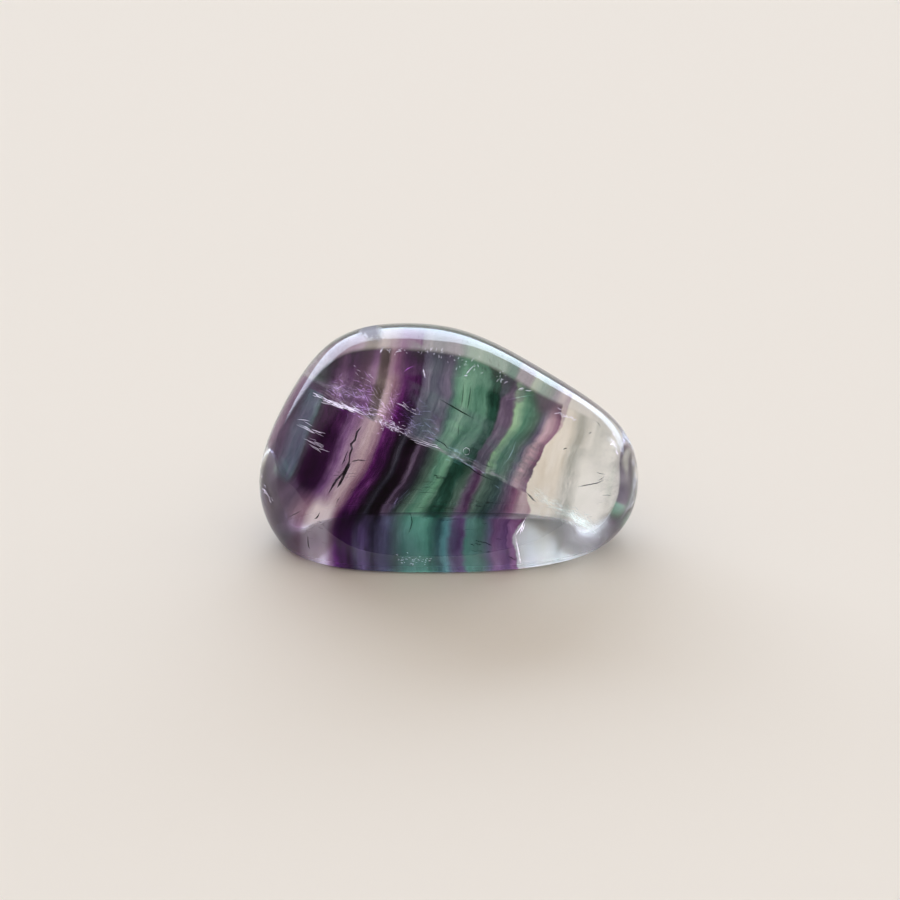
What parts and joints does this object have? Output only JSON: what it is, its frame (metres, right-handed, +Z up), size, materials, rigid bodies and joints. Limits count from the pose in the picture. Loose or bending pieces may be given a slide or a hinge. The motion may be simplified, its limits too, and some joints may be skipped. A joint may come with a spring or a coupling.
{
  "type": "tumbled fluorite stone",
  "caption": "Polished tumbled pebble of banded rainbow fluorite, purple and green at one end and clear at the other, lying on its own worn flat base.",
  "frame": {"origin": "on the surface the stone rests on, under the middle of its box", "axes": "+X along the length towards the clear end, +Y towards the back, +Z up; the broad worn face looks along -Y"},
  "size_m": [0.0296, 0.014, 0.0165],
  "materials": {
    "fluorite": "tumbled to a gloss, see-through, banded purple, violet, green and clear"
  },
  "bodies": {
    "root": {"stone": "fluorite"}
  },
  "joints": []
}
